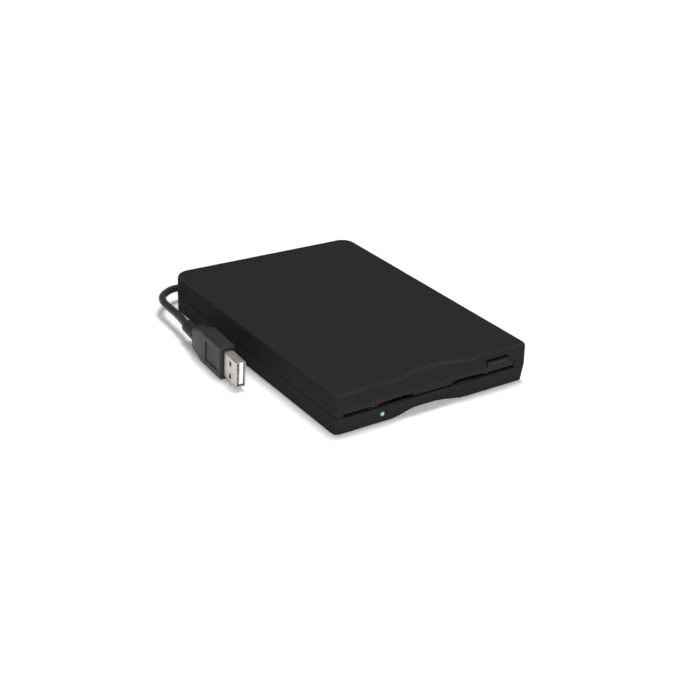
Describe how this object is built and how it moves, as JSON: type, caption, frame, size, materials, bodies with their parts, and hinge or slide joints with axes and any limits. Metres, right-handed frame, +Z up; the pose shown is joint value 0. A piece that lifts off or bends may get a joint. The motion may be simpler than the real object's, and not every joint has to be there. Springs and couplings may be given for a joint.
{
  "type": "external floppy disk drive",
  "caption": "Slim external 3.5-inch floppy disk drive: two-part case with a scooped front, disk slot behind a door flap, eject button, status light and a short captive USB lead.",
  "frame": {"origin": "middle of the case's footprint on the surface that the feet stand on, without the USB lead", "axes": "+X to the right as seen from the front, +Y from the disk slot to the rear, +Z up"},
  "size_m": [0.1199, 0.164, 0.0188],
  "materials": {
    "cover": "fine satin, soft black",
    "flap": "satin black",
    "button": "satin dark grey",
    "lens": "clear green light pipe",
    "foot_rubber": "matte black",
    "steel": "zinc-plated sheet",
    "zinc": "bright zinc plate",
    "nickel": "bright nickel plate",
    "brass": "smooth",
    "copper": "enamelled copper wire",
    "nylon": "natural nylon",
    "white_plastic": "white moulded",
    "circuit_board": "green solder mask",
    "chip": "black moulded",
    "ceramic": "polished",
    "film": "amber film",
    "lead_jacket": "smooth black jacket",
    "plug_jacket": "satin black overmould"
  },
  "bodies": {
    "case": {"upper_cover": "cover", "lower_cover": "cover", "foot_front_left": "foot_rubber", "foot_front_right": "foot_rubber", "foot_rear_left": "foot_rubber", "foot_rear_right": "foot_rubber", "case_screw_left": "zinc", "case_screw_right": "zinc", "led_lens": "lens", "led_emitter": "nylon", "drive_tray": "steel", "drive_cover": "steel", "eject_spring_left": "steel", "eject_spring_right": "steel", "spindle_bearing": "brass", "motor_stator": "copper", "guide_rod": "steel", "rod_saddle_front": "nylon", "rod_saddle_rear": "nylon", "stepper_motor": "zinc", "screw_bracket": "nylon", "track_zero_sensor": "chip", "main_board": "circuit_board", "control_chip": "chip", "motor_chip": "chip", "usb_board": "circuit_board", "bridge_chip": "chip", "flat_cable": "film", "switch_block_left": "chip", "switch_block_right": "chip", "strain_relief": "lead_jacket", "cable_start": "lead_jacket", "cable_hank": "lead_jacket", "cable_end": "lead_jacket", "cable_tie": "lead_jacket", "plug_grip": "plug_jacket", "plug_shell": "nickel", "plug_tongue": "white_plastic", "plug_contact_1": "brass", "plug_contact_2": "brass", "plug_contact_3": "brass", "plug_contact_4": "brass"},
    "door": {"slot_door": "flap"},
    "eject": {"eject_slide": "steel", "eject_button": "button"},
    "holder": {"disk_holder": "steel"},
    "trigger": {"trigger_lever": "zinc"},
    "spindle": {"motor_rotor": "steel", "spindle_hub": "zinc", "drive_pin": "brass"},
    "carriage": {"head_carriage": "nylon", "lower_head": "ceramic"},
    "head_arm": {"upper_head_arm": "zinc", "upper_head": "ceramic"},
    "screw": {"lead_screw": "steel"},
    "density_switch": {"density_plunger": "nylon"},
    "write_protect_switch": {"write_protect_plunger": "nylon"},
    "disk_in_switch": {"disk_in_plunger": "nylon"}
  },
  "joints": [
    {"name": "door_swing", "type": "hinge", "parent": "case", "child": "door", "pos_m": [-0.002, -0.0681, 0.0144], "axis": [1, 0, 0], "range_deg": [0, 88], "stiffness_Nm_per_rad": 0.0008},
    {"name": "eject_travel", "type": "slide", "parent": "case", "child": "eject", "axis": [0, -1, 0], "range_m": [0, 0.0045], "deforming": ["eject_spring_left", "eject_spring_right"]},
    {"name": "holder_drop", "type": "slide", "parent": "case", "child": "holder", "axis": [0, 0, -1], "range_m": [0, 0.0022]},
    {"name": "trigger_turn", "type": "hinge", "parent": "case", "child": "trigger", "pos_m": [-0.042, 0.038, 0.0138], "axis": [0, 0, 1], "range_deg": [0, 69.5], "stiffness_Nm_per_rad": 0.002},
    {"name": "spindle_turn", "type": "hinge", "parent": "case", "child": "spindle", "pos_m": [-0.002, -0.0123, 0.0069], "axis": [0, 0, 1], "continuous": true},
    {"name": "head_travel", "type": "slide", "parent": "case", "child": "carriage", "axis": [0, -1, 0], "range_m": [0, 0.0148]},
    {"name": "head_lower", "type": "hinge", "parent": "carriage", "child": "head_arm", "pos_m": [-0.002, 0.05, 0.0118], "axis": [1, 0, 0], "range_deg": [0, 12.8]},
    {"name": "lead_screw_turn", "type": "hinge", "parent": "case", "child": "screw", "pos_m": [0.0115, 0.042, 0.0066], "axis": [0, 1, 0], "range_deg": [0, 1421]},
    {"name": "density_press", "type": "slide", "parent": "case", "child": "density_switch", "axis": [0, 0, -1], "range_m": [0, 0.0012], "stiffness_N_per_m": 30},
    {"name": "write_protect_press", "type": "slide", "parent": "case", "child": "write_protect_switch", "axis": [0, 0, -1], "range_m": [0, 0.0012], "stiffness_N_per_m": 30},
    {"name": "disk_in_press", "type": "slide", "parent": "case", "child": "disk_in_switch", "axis": [0, 0, -1], "range_m": [0, 0.0012], "stiffness_N_per_m": 30}
  ],
  "couplings": [
    {"joint": "holder_drop", "follows": "eject_travel", "ratio": 0.4888},
    {"joint": "head_lower", "follows": "eject_travel", "rad_per_m": 49.6},
    {"joint": "lead_screw_turn", "follows": "head_travel", "rad_per_m": 1675.5}
  ]
}
